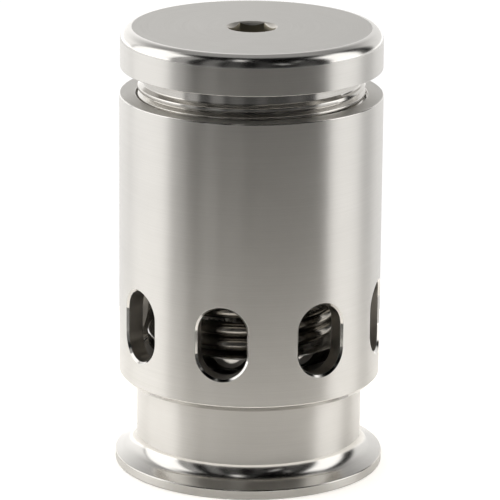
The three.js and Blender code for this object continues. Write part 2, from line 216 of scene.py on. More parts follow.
STEEL_LIGHT, STEEL_DARK = (0.68, 0.668, 0.645), (0.60, 0.588, 0.565)
CUT_LIGHT, CUT_DARK = (0.50, 0.48, 0.445), (0.37, 0.352, 0.32)
# Bored interior steel, duller than the outside; its colours are also darkened as painted shade inside
# the chamber and throat.
SHADED_BORE_LIGHT, SHADED_BORE_DARK = (0.36, 0.34, 0.305), (0.23, 0.215, 0.19)

BRUSHED = turned_metal("brushed_wall", STEEL_LIGHT, STEEL_DARK, 0.40, 0.9, 0.03, 0.25)
SATIN = turned_metal("satin_face", STEEL_LIGHT, STEEL_DARK, 0.46, 0.0, 0.03, 0.12)
POLISHED = turned_metal("polished_turning", STEEL_LIGHT, STEEL_DARK, 0.11, 0.3, 0.03, 0.06)
CUT = turned_metal("cut_steel", CUT_LIGHT, CUT_DARK, 0.26, 0.5, 0.06, 0.35, grain=5000.0)
# painted shade: this material's dark colours stand in for the shade inside the housing's chamber and
# the ferrule's throat
SHADED_BORE = turned_metal("bored_steel_painted_shade", SHADED_BORE_LIGHT, SHADED_BORE_DARK, 0.26, 0.5, 0.05, 0.15, grain=4000.0)
ROLLED = turned_metal("rounded_edge", STEEL_LIGHT, STEEL_DARK, 0.19, 0.4, 0.03, 0.08)
MILLED = plain_metal("milled_edge", (0.64, 0.615, 0.57), (0.47, 0.45, 0.415), 0.36, 0.2, 700.0)
THREADED = turned_metal("threaded_steel", STEEL_LIGHT, CUT_LIGHT, 0.17, 0.3, 0.03, 0.1)
BEVEL = plain_metal("bevelled_edge", STEEL_LIGHT, STEEL_DARK, 0.12, 0.35, 500.0)
SOCKET = plain_metal("broached_socket", (0.34, 0.31, 0.24), (0.22, 0.2, 0.15), 0.42, 0.5, 500.0)
# Wire colour darkened as painted shade of the dim chamber the spring sits in; the cap's retaining ring
# shares it.
SHADED_WIRE = plain_metal("spring_wire_painted_shade", (0.44, 0.42, 0.385), (0.31, 0.292, 0.262), 0.21, 0.07, 500.0)
BRONZE = turned_metal("bearing_bronze", (0.66, 0.46, 0.25), (0.5, 0.33, 0.17), 0.34, 0.4, 0.06, 0.3)
PTFE = soft_plastic("ptfe", (0.84, 0.83, 0.80), (0.76, 0.75, 0.71), 0.5, 0.15)
RUBBER = soft_plastic("seal_rubber", (0.035, 0.034, 0.033), (0.018, 0.018, 0.018), 0.55, 0.2, 0.2)
NYLON = soft_plastic("nylon", (0.09, 0.22, 0.47), (0.06, 0.16, 0.38), 0.45, 0.12)

# ------------------------------------------------------------------ outlines


def corner_arc(before, corner, after, radius):
    """Points and normals of the arc that rounds a corner of an outline."""
    to_corner = (corner - before).normalized()
    from_corner = (after - corner).normalized()
    turn = to_corner.angle_signed(from_corner)
    if abs(turn) < FLAT_TURN:
        normal = Vector((to_corner.y, -to_corner.x))
        return [(corner, normal)]
    reach = radius * math.tan(abs(turn) / 2)
    limit = ARC_SHARE * min((corner - before).length, (after - corner).length)
    if reach > limit:
        radius *= limit / reach
        reach = limit
    steps = max(3, math.ceil(abs(turn) * (FINE_STEPS if radius > 1 else COARSE_STEPS)))
    first = Vector((to_corner.y, -to_corner.x))
    side = 1 if turn < 0 else -1
    start = corner - to_corner * reach
    centre = start - first * radius * side
    points = []
    for i in range(steps + 1):
        angle = -turn * i / steps
        normal = Vector((
            first.x * math.cos(angle) - first.y * math.sin(angle),
            first.x * math.sin(angle) + first.y * math.cos(angle),
        ))
        points.append((centre + normal * radius * side, normal))
    return points


def smooth_outline(corners, closed=True, edge=0.15, edge_finish=1):
    """Rounds the corners of an outline that runs anticlockwise, with the radius to the right.

    A corner is (radius, z), with a third number for its own rounding and a fourth for the
    finish of the straight stretch after it. Gives (radius, z, normal r, normal z, finish)."""
    points = [Vector(c[:2]) for c in corners]
    rounding = [c[2] if len(c) > 2 and c[2] is not None else edge for c in corners]
    finishes = [c[3] if len(c) > 3 else 0 for c in corners]
    count = len(points)
    made = []
    for i, point in enumerate(points):
        at_end = not closed and i in (0, count - 1)
        if at_end:
            other = points[1] if i == 0 else points[-2]
            along = (other - point) if i == 0 else (point - other)
            along.normalize()
            made.append((point.x, point.y, along.y, -along.x, finishes[i]))
            continue
        arc = corner_arc(points[i - 1], point, points[(i + 1) % count], rounding[i])
        for k, (place, normal) in enumerate(arc):
            finish = finishes[i] if k == len(arc) - 1 else edge_finish
            made.append((place.x, place.y, normal.x, normal.y, finish))
    return made


# ------------------------------------------------------------------ meshes


def finish_mesh(name, verts, normals, faces, finishes, materials, sharp):
    """Makes the object: merges doubles, keeps the exact normals of the turned surfaces, and
    lets Blender shade the rest with its sharp edges marked."""
    mesh = bpy.data.meshes.new(name)
    mesh.from_pydata([tuple(c * MM for c in v) for v in verts], [], faces)
    layer = mesh.attributes.new("exact_normal", "FLOAT_VECTOR", "POINT")
    layer.data.foreach_set("vector", np.array(normals, np.float32).ravel())
    mesh.polygons.foreach_set("material_index", np.array(finishes, np.int32))
    work = bmesh.new()
    work.from_mesh(mesh)
    bmesh.ops.remove_doubles(work, verts=work.verts, dist=WELD)
    bmesh.ops.dissolve_degenerate(work, edges=work.edges, dist=DEGENERATE)
    for edge in work.edges:
        edge.smooth = edge.calc_face_angle(0) < math.radians(sharp)
    for face in work.faces:
        face.smooth = True
    work.to_mesh(mesh)
    work.free()
    exact = np.zeros(len(mesh.vertices) * 3, np.float32)
    mesh.attributes["exact_normal"].data.foreach_get("vector", exact)
    exact = exact.reshape(-1, 3)
    corners = np.zeros(len(mesh.loops) * 3, np.float32)
    mesh.corner_normals.foreach_get("vector", corners)
    corners = corners.reshape(-1, 3)
    index = np.zeros(len(mesh.loops), np.int32)
    mesh.loops.foreach_get("vertex_index", index)
    own = exact[index]
    known = np.linalg.norm(own, axis=1) > 0.5
    corners[known] = own[known]
    mesh.normals_split_custom_set(corners.tolist())
    mesh.attributes.remove(mesh.attributes["exact_normal"])
    for material in materials:
        mesh.materials.append(material)
    made = bpy.data.objects.new(name, mesh)
    bpy.context.scene.collection.objects.link(made)
    return made


class Sheet:
    """Collects points and faces of one closed mesh."""

    def __init__(self):
        self.verts, self.normals, self.faces, self.finishes = [], [], [], []

    def point(self, place, normal=(0, 0, 0)):
        self.verts.append(tuple(place))
        self.normals.append(tuple(normal))
        return len(self.verts) - 1

    def face(self, corners, finish=0):
        self.faces.append(corners)
        self.finishes.append(finish)

    def columns(self, columns, close=True):
        """Joins neighbouring columns of (r, z, nr, nz, finish) points, listed with their angles.

        Points run with the solid on their left, so faces look outwards."""
        rows = []
        for angle, column in columns:
            c, s = math.cos(angle), math.sin(angle)
            rows.append([
                self.point((r * c, r * s, z), (nr * c, nr * s, nz)) for r, z, nr, nz, _ in column
            ])
        count = len(rows)
        for i in range(count if close else count - 1):
            a, b = rows[i], rows[(i + 1) % count]
            for j in range(len(a) - 1):
                self.face((a[j], b[j], b[j + 1], a[j + 1]), columns[i][1][j][4])

    def build(self, name, materials, sharp=35):
        return finish_mesh(
            name, self.verts, self.normals, self.faces, self.finishes, materials, sharp)


def turned_piece(name, corners, materials, sides=180, closed=True, edge=0.15, edge_finish=1):
    """A solid of revolution about Z. An open outline starts and ends on the axis."""
    outline = smooth_outline(corners, closed, edge, edge_finish)
    if closed:
        outline.append(outline[0])
    sheet = Sheet()
    sheet.columns([(TAU * i / sides, outline) for i in range(sides)])
    return sheet.build(name, materials)


def swept(name, frames, section, materials):
    """Sweeps a round list of (u, v) points along frames of (centre, across, up)."""
    sheet = Sheet()
    rings = []
    for centre, across, up in frames:
        rings.append([
            sheet.point(centre + across * u + up * v, (across * u + up * v).normalized())
            for u, v in section
        ])
    size = len(section)
    for a, b in zip(rings, rings[1:]):
        for k in range(size):
            m = (k + 1) % size
            sheet.face((a[k], a[m], b[m], b[k]))
    sheet.face(tuple(reversed(rings[0])))
    sheet.face(tuple(rings[-1]))
    return sheet.build(name, materials)


# ------------------------------------------------------------------ adjusting thread

THREAD_PHASE = 95.0              # z of a crest's lower edge where the helix crosses +X
CREST_R, ROOT_R = 38.0, 36.32
CAP_THREAD_TOP = 132.2
MALE_FORM = ((0.0, 37.86), (0.09, 37.96), (0.2, CREST_R), (1.1, CREST_R), (1.21, 37.96),
             (1.3, 37.86), (2.0, 36.48), (2.12, 36.35), (2.18, ROOT_R), (2.3, 36.48))
FEMALE_FORM = ((-0.2, 38.25), (-0.1, 38.35), (1.3, 38.35), (1.4, 38.25), (2.02, 36.86),
               (2.15, 36.8), (2.3, 36.86))


def thread_column(form, angle, low, high, limit, finish, downward):
    """Points of a thread's surface at one angle, between two heights.

    limit(z, r) gives the radius that the turned blank leaves of r at height z."""
    rise = PITCH * (angle / TAU)
    points = []
    first = math.floor((low - THREAD_PHASE) / PITCH) - 3
    last = math.ceil((high - THREAD_PHASE) / PITCH) + 3
    for turn in range(first, last):
        for offset, r in form:
            z = THREAD_PHASE + turn * PITCH + offset + rise
            z = min(max(z, low), high)
            points.append((limit(z, r), z, 0, 0, finish))
    if downward:
        points.reverse()
    return points


def blank_limit(sections, bound):
    """A function of z and thread radius: the radius kept inside (min) or outside (max) a blank."""
    zs = [z for z, _ in sections]
    rs = [r for _, r in sections]
    return lambda z, r: bound(r, float(np.interp(z, zs, rs)))


# ------------------------------------------------------------------ cap

HEX_FLAT = 7.0
HEX_DEPTH = 8.0
HEX_MOUTH_R = 8.45
BOSS_R, BOSS_FOOT, BOSS_BORE, BOSS_STEP, BOSS_TOP = 11.0, 108.0, 9.0, 126.0, 138.0
SKIRT_BORE, WEB = 32.5, 133.0
CAP_UNDER, CAP_NECK = 137.1, 36.4
CAP_SIDES = 360


def socket_column(angle):
    """Socket at one angle, from its floor's middle up to the flat top: a broached hexagon
    under a small conical mouth."""
    local = (angle - CAMERA_TURN + math.pi / 6) % (math.pi / 3) - math.pi / 6
    # one corner points along +X turned by CAMERA_TURN, and flats are 30 degrees away from it
    across = HEX_FLAT / math.cos(math.pi / 6 - abs(local))
    lip = CAP_TOP - (HEX_MOUTH_R - across) * 0.8
    floor = CAP_TOP - HEX_DEPTH
    return [
        (HEX_MOUTH_R + 0.12, CAP_TOP, 0, 1, 3),
        (HEX_MOUTH_R, CAP_TOP - 0.06, 0, 0, 3),
        (across + 0.03, lip, 0, 0, 2),
        (across, lip - 0.05, 0, 0, 2),
        (across, floor, 0, 0, 2),
        (3.4, floor, 0, 0, 2),
        (3.0, floor - 0.02, 0, 0, 2),
        (0, floor - 1.6, 0, 0, 2),
    ]


def make_cap():
    """Disc with its polished top edge, socket, neck, threaded skirt and stem guide boss."""
    bottom = smooth_outline([
        (0, BOSS_TOP), (7.5, BOSS_TOP), (7.5, BOSS_STEP), (BOSS_BORE, BOSS_STEP),
        (BOSS_BORE, BOSS_FOOT + 2.4), (BOSS_BORE + 0.6, BOSS_FOOT + 2.4),
        (BOSS_BORE + 0.6, BOSS_FOOT + 1.0), (BOSS_BORE, BOSS_FOOT + 1.0),
        (BOSS_BORE, BOSS_FOOT), (BOSS_R, BOSS_FOOT), (BOSS_R, WEB, 1.0), (SKIRT_BORE, WEB, 1.5),
        (SKIRT_BORE, SKIRT_FOOT), (CREST_R - 1.6, SKIRT_FOOT), (CREST_R - 0.1, SKIRT_FOOT + 1.5),
    ], closed=False)
    thread_top = CAP_THREAD_TOP + 0.6
    top = smooth_outline([
        (CAP_NECK, thread_top, 0.1, 4), (CAP_NECK, CAP_UNDER, 0.5, 5),
        (CAP_R, CAP_UNDER, 0.28, 6), (CAP_R, CAP_TOP, 3.9, 7), (HEX_MOUTH_R + 0.12, CAP_TOP),
    ], closed=False, edge_finish=8)
    blank = blank_limit([
        (SKIRT_FOOT, CREST_R - 1.6), (SKIRT_FOOT + 1.6, CREST_R), (CAP_THREAD_TOP - 0.5, CREST_R),
        (CAP_THREAD_TOP + 0.5, CAP_NECK)], min)
    sheet = Sheet()
    columns = []
    for i in range(CAP_SIDES + 1):
        angle = TAU * i / CAP_SIDES
        thread = thread_column(MALE_FORM, angle, SKIRT_FOOT + 1.5, thread_top, blank, 9, False)
        columns.append((angle, bottom + thread + top + socket_column(angle)))
    sheet.columns(columns, close=False)
    finishes = [CUT, POLISHED, SOCKET, MILLED, THREADED, POLISHED, BRUSHED, SATIN, ROLLED, THREADED]
    cap = sheet.build("turned_cap", finishes)
    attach(cap, "cap")
    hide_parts("adjusting_cap")


# ------------------------------------------------------------------ vent housing

CHAMBER_R = 38.1
MOUTH_R = 38.75
HOUSING_CHAMFER = 2.0
HOUSING_THREAD_FOOT = 107.0
INNER_CREST_R = 36.8
REGISTER_R = 37.05
SLOTS = 8
SLOT_HALF = 8.3
SLOT_LOW, SLOT_HIGH = 41.0, 65.1
PATCH_LOW, PATCH_HIGH = 38.6, 69.5
SECTOR = 45                      # columns between the middles of two slots
SLOT_BEVEL = 0.75                # countersunk edge outside
SLOT_BREAK = 0.2                 # broken edge inside
RELIEF_R, RELIEF_FOOT = 38.9, 103.2


def slot_loop():
    """Matching points of the slot's outline and of the sector's border, anticlockwise seen
    from outside: (x, z, direction x, direction z) and (angle, z)."""
    low = SLOT_LOW + SLOT_HALF
    high = SLOT_HIGH - SLOT_HALF
    half = math.radians(22.5)
    rows = 32
    border = []
    for i in range(SECTOR):
        border.append((-half + 2 * half * i / SECTOR, PATCH_LOW))
    for i in range(rows):
        border.append((half, PATCH_LOW + (PATCH_HIGH - PATCH_LOW) * i / rows))
    for i in range(SECTOR):
        border.append((half - 2 * half * i / SECTOR, PATCH_HIGH))
    for i in range(rows):
        border.append((-half, PATCH_HIGH - (PATCH_HIGH - PATCH_LOW) * i / rows))
    outline = []
    for angle, z in border:
        x = HOUSING_R * math.sin(angle)
        away = Vector((x, z - min(max(z, low), high)))
        direction = away.normalized()
        centre = min(max(z, low), high)
        outline.append((direction.x, direction.y, centre))
    return outline, border


def slot_patch(sheet, turn, wall_finish, shaded_bore_finish, cut_finish, bevel_finish):
    """One sector of the wall with its slot: outside, slot wall and inside."""
    soft = 0.05                  # rounding of the bevel's two edges
    outline, border = slot_loop()
    count = len(border)
    loops = []

    def on_wall(radius, x, z):
        angle = math.asin(max(-1, min(1, x / radius)))
        return angle, z

    def place(radius, angle, z, normal):
        facing = -math.pi / 2 + angle + turn
        return sheet.point((radius * math.cos(facing), radius * math.sin(facing), z), normal(facing))

    def outward(sign):
        return lambda facing: (sign * math.cos(facing), sign * math.sin(facing), 0)

    def rings(radius, sign, shares, spread):
        made = []
        for share in shares:
            ring = []
            for (dx, dz, centre), (end_angle, end_z) in zip(outline, border):
                reach = SLOT_HALF + spread
                angle, z = on_wall(radius, dx * reach, centre + dz * reach)
                mixed = angle + (end_angle - angle) * share
                ring.append(place(radius, mixed, z + (end_z - z) * share, outward(sign)))
            made.append(ring)
        return made

    def wall_ring(radius, spread, tilt):
        """A ring of the slot's own wall; tilt turns its normal towards the outside."""
        ring = []
        for dx, dz, centre in outline:
            angle, z = on_wall(radius, dx * (SLOT_HALF + spread), centre + dz * (SLOT_HALF + spread))
            facing = -math.pi / 2 + angle + turn
            axis = -math.pi / 2 + turn
            side = Vector((-math.sin(axis), math.cos(axis), 0))
            inward = -(side * dx + Vector((0, 0, dz)))
            radial = Vector((math.cos(facing), math.sin(facing), 0))
            normal = (inward * math.cos(tilt) + radial * math.sin(tilt)).normalized()
            ring.append(sheet.point((radius * math.cos(facing), radius * math.sin(facing), z), normal))
        return ring

    shares = (1.0, 0.8, 0.6, 0.42, 0.27, 0.15, 0.06, 0.0)
    loops += [(ring, wall_finish) for ring in rings(HOUSING_R, 1, shares, SLOT_BEVEL + soft)]
    slant = math.radians(45)
    loops += [
        (wall_ring(HOUSING_R - soft, SLOT_BEVEL - soft, slant), bevel_finish),
        (wall_ring(HOUSING_R - SLOT_BEVEL + soft, soft, slant), bevel_finish),
        (wall_ring(HOUSING_R - SLOT_BEVEL - soft, 0.0, 0.0), bevel_finish),
        (wall_ring((HOUSING_R + CHAMBER_R) / 2, 0.0, 0.0), cut_finish),
        (wall_ring(CHAMBER_R + SLOT_BREAK, 0.0, 0.0), cut_finish),
        (wall_ring(CHAMBER_R + 0.3 * SLOT_BREAK, 0.3 * SLOT_BREAK, -slant), cut_finish),
    ]
    inner = rings(CHAMBER_R, -1, tuple(reversed(shares)), SLOT_BREAK)
    # the inner rings take the bore material, whose dark colour is painted shade
    loops += [(ring, shaded_bore_finish) for ring in inner]
    for (a, _), (b, finish) in zip(loops, loops[1:]):
        for k in range(count):
            m = (k + 1) % count
            sheet.face((a[k], a[m], b[m], b[k]), finish)


def make_housing():
    """Tube with eight slots, chamfered foot, threaded mouth and a ledge for the spigot."""
    low = smooth_outline([
        (CHAMBER_R, PATCH_LOW, None, 1), (CHAMBER_R, SPIGOT_TOP + 0.3, 0.15, 1),
        (REGISTER_R, SPIGOT_TOP + 0.3, 0.15, 1), (REGISTER_R, HOUSING_FOOT, 0.3, 0),
        (HOUSING_R - HOUSING_CHAMFER, HOUSING_FOOT, 0.4, 2),
        (HOUSING_R, HOUSING_FOOT + HOUSING_CHAMFER, 0.5, 3),
        (HOUSING_R, PATCH_LOW),
    ], closed=False, edge_finish=2)
    outside = smooth_outline([
        (HOUSING_R, PATCH_HIGH, None, 3), (HOUSING_R, HOUSING_TOP, 0.35, 4),
        (MOUTH_R, HOUSING_TOP, 0.2, 2), (MOUTH_R - 0.1, HOUSING_TOP - 0.5),
    ], closed=False, edge_finish=2)
    thread_foot = HOUSING_THREAD_FOOT - 0.3
    inside = smooth_outline([
        (RELIEF_R, thread_foot, None, 1), (RELIEF_R, RELIEF_FOOT, 0.3, 1),
        (CHAMBER_R, RELIEF_FOOT - 0.8, 0.2, 1), (CHAMBER_R, PATCH_HIGH),
    ], closed=False)
    thread_top = HOUSING_TOP - 0.5
    mouth = blank_limit([
        (thread_foot, RELIEF_R), (HOUSING_THREAD_FOOT, INNER_CREST_R),
        (thread_top - 1.9, INNER_CREST_R), (thread_top, MOUTH_R - 0.1)], max)
    sheet = Sheet()
    sides = SLOTS * SECTOR
    lower, upper = [], []
    half_step = math.pi / sides
    for i in range(sides + 1):
        angle = TAU * i / sides + half_step
        lower.append((angle, low))
        thread = thread_column(
            FEMALE_FORM, angle, thread_foot, thread_top, mouth, 5, True)
        upper.append((angle, outside + thread + inside))
    sheet.columns(lower, close=False)
    sheet.columns(upper, close=False)
    for i in range(SLOTS):
        slot_patch(sheet, i * TAU / SLOTS, 3, 1, 6, 7)
    finishes = [CUT, SHADED_BORE, POLISHED, BRUSHED, SATIN, THREADED, MILLED, BEVEL]
    housing = sheet.build("slotted_housing", finishes)
    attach(housing, "housing")
    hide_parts("vent_housing")


# ------------------------------------------------------------------ ferrule

NECK_R = 38.1
BORE_R = 36.4
RIM = 3.2
CONE = math.tan(math.radians(20))
NECK_FILLET = 5.8
THROAT_R = 21.6
SPIGOT_R = 36.9


def make_ferrule():
    """Clamp flange with its cone and gasket groove, neck, conical inlet, throat and spigot."""
    cone_foot = RIM + (FLANGE_R - NECK_R) * CONE
    ferrule = turned_piece("clamp_ferrule", [
        (BORE_R, 0, 0.3, 0), (40.6, 0, 0.3, 0), (41.3, 1.5, 0.6, 0), (42.7, 1.5, 0.6, 0),
        (43.4, 0, 0.3, 0), (FLANGE_R, 0, 0.35, 1), (FLANGE_R, RIM, 0.5, 2),
        (NECK_R, cone_foot, NECK_FILLET, 3), (NECK_R, HOUSING_FOOT - 0.04, 0.05, 0),
        (SPIGOT_R, HOUSING_FOOT - 0.04, 0.1, 0), (SPIGOT_R, 32.4), (35.4, 32.4), (35.4, 35.0),
        (SPIGOT_R, 35.0), (SPIGOT_R, SPIGOT_TOP, 0.3, 4), (SEAT_R + 0.15, SPIGOT_TOP),
        (SEAT_R + 0.15, SEAT_FOOT - 0.15), (THROAT_R, SEAT_FOOT - 0.15), (THROAT_R, 29.5, 1.0, 5),
        (BORE_R, 18, 4.0, 5),
    ], [CUT, BRUSHED, ROLLED, BRUSHED, SATIN, SHADED_BORE, ROLLED], sides=360, edge_finish=6)
    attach(ferrule, "housing")
    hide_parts("base_ferrule")


# ------------------------------------------------------------------ inner pieces


def ring_piece(name, node, body, slot, corners, materials, **options):
    piece = turned_piece(name, corners, materials, **options)
    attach(piece, body)
    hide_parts(node)


def o_ring(name, node, body, radius, z, section):
    corners = []
    for i in range(24):
        angle = TAU * i / 24
        corners.append((radius + section * math.cos(angle), z + section * math.sin(angle)))
    ring_piece(name, node, body, "seal_rubber", corners, [RUBBER, RUBBER], edge=0.02)


def make_inner_pieces():
    ring_piece("seat_ring", "seat_insert", "housing", "ptfe", [
        (THROAT_R, SEAT_FOOT), (SEAT_R, SEAT_FOOT, 0.4), (SEAT_R, SEAT_TOP, 0.2),
        (THROAT_R, SEAT_TOP, 0.6),
    ], [PTFE, PTFE])
    o_ring("housing_o_ring", "housing_seal", "housing", 36.3, 33.7, 0.7)
    o_ring("poppet_o_ring", "poppet_seal", "poppet", 24.0, 39.42, 1.3)
    pilot = 25.1
    disc_bore, plate_bore, washer_bore = 4.1, 11.8, 12
    recess = 41.0
    lip_inner, lip_outer = 25.5, 27.0
    rim_foot, rim_top = 41.4, 45.6
    ring_piece("valve_disc", "poppet_disc", "poppet", "machined_steel", [
        (disc_bore, recess), (lip_inner, recess), (lip_inner, DISC_FOOT), (lip_outer, DISC_FOOT),
        (lip_outer, rim_foot), (DISC_R, rim_foot, 0.3, 2), (DISC_R, rim_top, 0.45, 3),
        (pilot, rim_top, 0.5), (pilot, DISC_BOSS_TOP, 0.8), (disc_bore, DISC_BOSS_TOP),
    ], [CUT, POLISHED, POLISHED, CUT], sides=240)
    collar = 9.0
    collar_top = DISC_BOSS_TOP + 3.6
    stem = 6.5
    stud = 4.0
    ring_piece("guide_stem", "poppet_stem", "poppet", "machined_steel", [
        (0, STUD_FOOT), (stud, STUD_FOOT, 0.6), (stud, DISC_BOSS_TOP + 0.05),
        (collar, DISC_BOSS_TOP + 0.05, 0.4), (collar, collar_top, 0.6), (stem, collar_top, 0.5, 2),
        (stem, STEM_TOP, 0.8), (0, STEM_TOP),
    ], [CUT, POLISHED, BRUSHED], closed=False, sides=120)
    ring_piece("spring_plate", "upper_spring_seat", "spring_seat", "machined_steel", [
        (plate_bore, SPRING_SEAT_FOOT), (pilot, SPRING_SEAT_FOOT, 0.8),
        (pilot, SPRING_SEAT_TOP - 3, 0.3),
        (SPRING_SEAT_R, SPRING_SEAT_TOP - 3, 0.3), (SPRING_SEAT_R, SPRING_SEAT_TOP, 0.4),
        (plate_bore, SPRING_SEAT_TOP),
    ], [CUT, POLISHED])
    ring_piece("bronze_washer", "thrust_washer", "spring_seat", "bronze", [
        (washer_bore, WASHER_FOOT), (WASHER_R, WASHER_FOOT, 0.2), (WASHER_R, WASHER_TOP, 0.2),
        (washer_bore, WASHER_TOP),
    ], [BRONZE, BRONZE])
    bush_r, bush_foot, bush_top = span("guide_bushing")
    ring_piece("stem_bushing", "guide_bushing", "cap", "bronze", [
        (stem + 0.2, bush_foot, 0.4), (bush_r, bush_foot, 0.3), (bush_r, bush_top, 0.3),
        (stem + 0.2, bush_top, 0.4),
    ], [BRONZE, BRONZE], sides=120)


# ------------------------------------------------------------------ fasteners and wing guide

STUD_BORE = 4.3                  # hole over the stem's stud
NUT_FLAT, NUT_FACE_R = 6.5, 6.3  # half across flats, and the flat face inside the chamfers
CHAMFER_SLOPE = math.tan(math.radians(30))


def make_stem_nut():
    """Hexagon nut, chamfered on both faces, with its corners on +X."""
    _, foot, top = span("stem_nut")
    sides = 120
    sheet = Sheet()
    columns = []
    for i in range(sides):
        angle = TAU * i / sides
        local = angle % (math.pi / 3) - math.pi / 6
        across = NUT_FLAT / math.cos(local)
        drop = max(across - NUT_FACE_R, 0) * CHAMFER_SLOPE
        outline = [
            (STUD_BORE + 0.4, foot), (NUT_FACE_R, foot), (across, foot + drop), (across, top - drop),
            (NUT_FACE_R, top), (STUD_BORE + 0.4, top), (STUD_BORE, top - 0.4), (STUD_BORE, foot + 0.4),
            (STUD_BORE + 0.4, foot),
        ]
        columns.append((angle, [(r, z, 0, 0, 0) for r, z in outline]))
    sheet.columns(columns)
    nut = sheet.build("hexagon_nut", [MILLED], sharp=20)
    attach(nut, "poppet")
    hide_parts("stem_nut")


def split_ring(name, node, body, inner, outer, foot, thick, opening, rise, material):
    """A ring with a gap centred on +X. rise lifts its far end, as on a sprung washer."""
    section = smooth_outline([
        (inner, foot), (outer, foot), (outer, foot + thick), (inner, foot + thick),
    ], edge=0.12, edge_finish=0)
    section.append(section[0])
    half = math.radians(opening / 2)
    steps = 90
    columns = []
    for i in range(steps + 1):
        share = i / steps
        lift = rise * share
        angle = half + (TAU - 2 * half) * share
        columns.append((angle, [(r, z + lift, nr, nz, 0) for r, z, nr, nz, _ in section]))
    sheet = Sheet()
    sheet.columns(columns, close=False)
    count = len(section)
    for first, order in ((0, 1), (steps * count, -1)):
        cap = [sheet.point(sheet.verts[first + k]) for k in range(count - 1)]
        sheet.face(tuple(cap[::order]))
    piece = sheet.build(name, [material])
    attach(piece, body)
    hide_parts(node)


def make_split_rings():
    washer_r, foot, top = span("lock_washer")
    rise = 0.3
    split_ring("sprung_washer", "lock_washer", "poppet",
               STUD_BORE, washer_r, foot, top - foot - rise, 16, rise, CUT)
    clip_r, foot, top = span("bushing_circlip")
    split_ring("retaining_ring", "bushing_circlip", "cap",
               clip_r - 1.6, clip_r, foot, top - foot, 50, 0.0, SHADED_WIRE)


def make_plug():
    """Round nylon plug, lying along +Y."""
    low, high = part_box("locking_plug")
    radius = (high.x - low.x) / 2 / MM
    length = (high.y - low.y) / MM
    plug = turned_piece("nylon_plug", [
        (0, 0), (radius, 0, 0.3), (radius, length, 0.3), (0, length),
    ], [NYLON, NYLON], sides=48, closed=False)
    centre = Vector(((low.x + high.x) / 2, high.y, (low.z + high.z) / 2))
    plug.data.transform(Matrix.Translation(centre) @ Matrix.Rotation(math.pi / 2, 4, "X"))
    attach(plug, "cap")
    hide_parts("locking_plug")


def united(base, others):
    """Joins pieces into one closed body and shades it by its own sharp edges."""
    for other in others:
        union = base.modifiers.new("union", "BOOLEAN")
        union.operation = "UNION"
        union.solver = "EXACT"
        union.object = other
    bpy.context.view_layer.update()
    graph = bpy.context.evaluated_depsgraph_get()
    mesh = bpy.data.meshes.new_from_object(base.evaluated_get(graph))
    base.modifiers.clear()
    base.data = mesh
    for other in others:
        bpy.data.objects.remove(other)
    work = bmesh.new()
    work.from_mesh(mesh)
    for edge in work.edges:
        edge.smooth = edge.calc_face_angle(0) < math.radians(30)
    for face in work.faces:
        face.smooth = True
    work.to_mesh(mesh)
    work.free()


def wing(angle, reach, foot, top, thick):
    """One blade through the axis, its outer foot corners sloped to enter the throat."""
    slope = 1.5
    inner = 9.6                  # the blade is cut back over the nut
    hub_foot = 30.5
    half = [(inner, foot), (reach - slope, foot), (reach, foot + slope), (reach, top)]
    outline = [(0, hub_foot), (inner, hub_foot)] + half
    outline += [(-x, z) for x, z in reversed(half)] + [(-inner, hub_foot)]
    sheet = Sheet()
    c, s = math.cos(angle), math.sin(angle)
    sides = []
    for y in (-thick / 2, thick / 2):
        sides.append([sheet.point((x * c - y * s, x * s + y * c, z)) for x, z in outline])
    near, far = sides
    sheet.face(tuple(near))
    sheet.face(tuple(reversed(far)))
    for k in range(len(outline)):
        m = (k + 1) % len(outline)
        sheet.face((near[m], near[k], far[k], far[m]))
    return sheet.build("wing", [CUT])


def make_wing_guide():
    """Plate and hub over the stud, with four wings that slide in the throat."""
    _, _, plate_top = span("wing_guide")
    plate_foot = plate_top - 2.0
    plate_r, hub_r, hub_foot = 22.4, 7.0, 30.0
    guide = turned_piece("winged_guide", [
        (STUD_BORE, hub_foot, 0.3), (hub_r, hub_foot, 0.4), (hub_r, plate_foot, 0.8),
        (plate_r, plate_foot, 0.3), (plate_r, plate_top, 0.3), (STUD_BORE, plate_top, 0.3),
    ], [CUT, POLISHED], sides=120)
    blades = []
    for turn in (0, math.pi / 2):
        blades.append(wing(turn, 21.0, 26.0, plate_foot + 0.6, 2.5))
    united(guide, blades)
    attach(guide, "poppet")
    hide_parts("wing_guide")


make_cap()
make_housing()
make_ferrule()
make_inner_pieces()
make_stem_nut()
make_split_rings()
make_plug()
make_wing_guide()

# ------------------------------------------------------------------ spring

WIRE_R = 2.5
COIL_R = 28.0
ACTIVE_TURNS, END_TURNS, END_PITCH = 9.0, 1.25, 5.1
TURNS = ACTIVE_TURNS + 2 * END_TURNS
WIRE_SIDES, STEPS_PER_TURN = 28, 72
STILL_END, OVERLAP = 6, 2        # mm: a half's end, and its reach past mid-height
SPRING_START = math.radians(230)
END_GRIND = 0.5                  # how much of the wire is ground off the spring's flat ends


def coil_height(turn):
    """Height of the wire's centre: close-wound ends eased into the working pitch."""
    low = SPRING_FOOT + WIRE_R - END_GRIND
    high = SPRING_TOP - WIRE_R + END_GRIND
    rise = high - low
    spare = rise - END_PITCH * TURNS
    share = min(max((turn - END_TURNS) / ACTIVE_TURNS, 0), 1)
    ease = 0.06
    if share < ease:
        eased = share * share / (2 * ease)
    elif share > 1 - ease:
        eased = 1 - ease - (1 - share) ** 2 / (2 * ease)
    else:
        eased = share - ease / 2
    return low + END_PITCH * turn + spare * eased / (1 - ease)


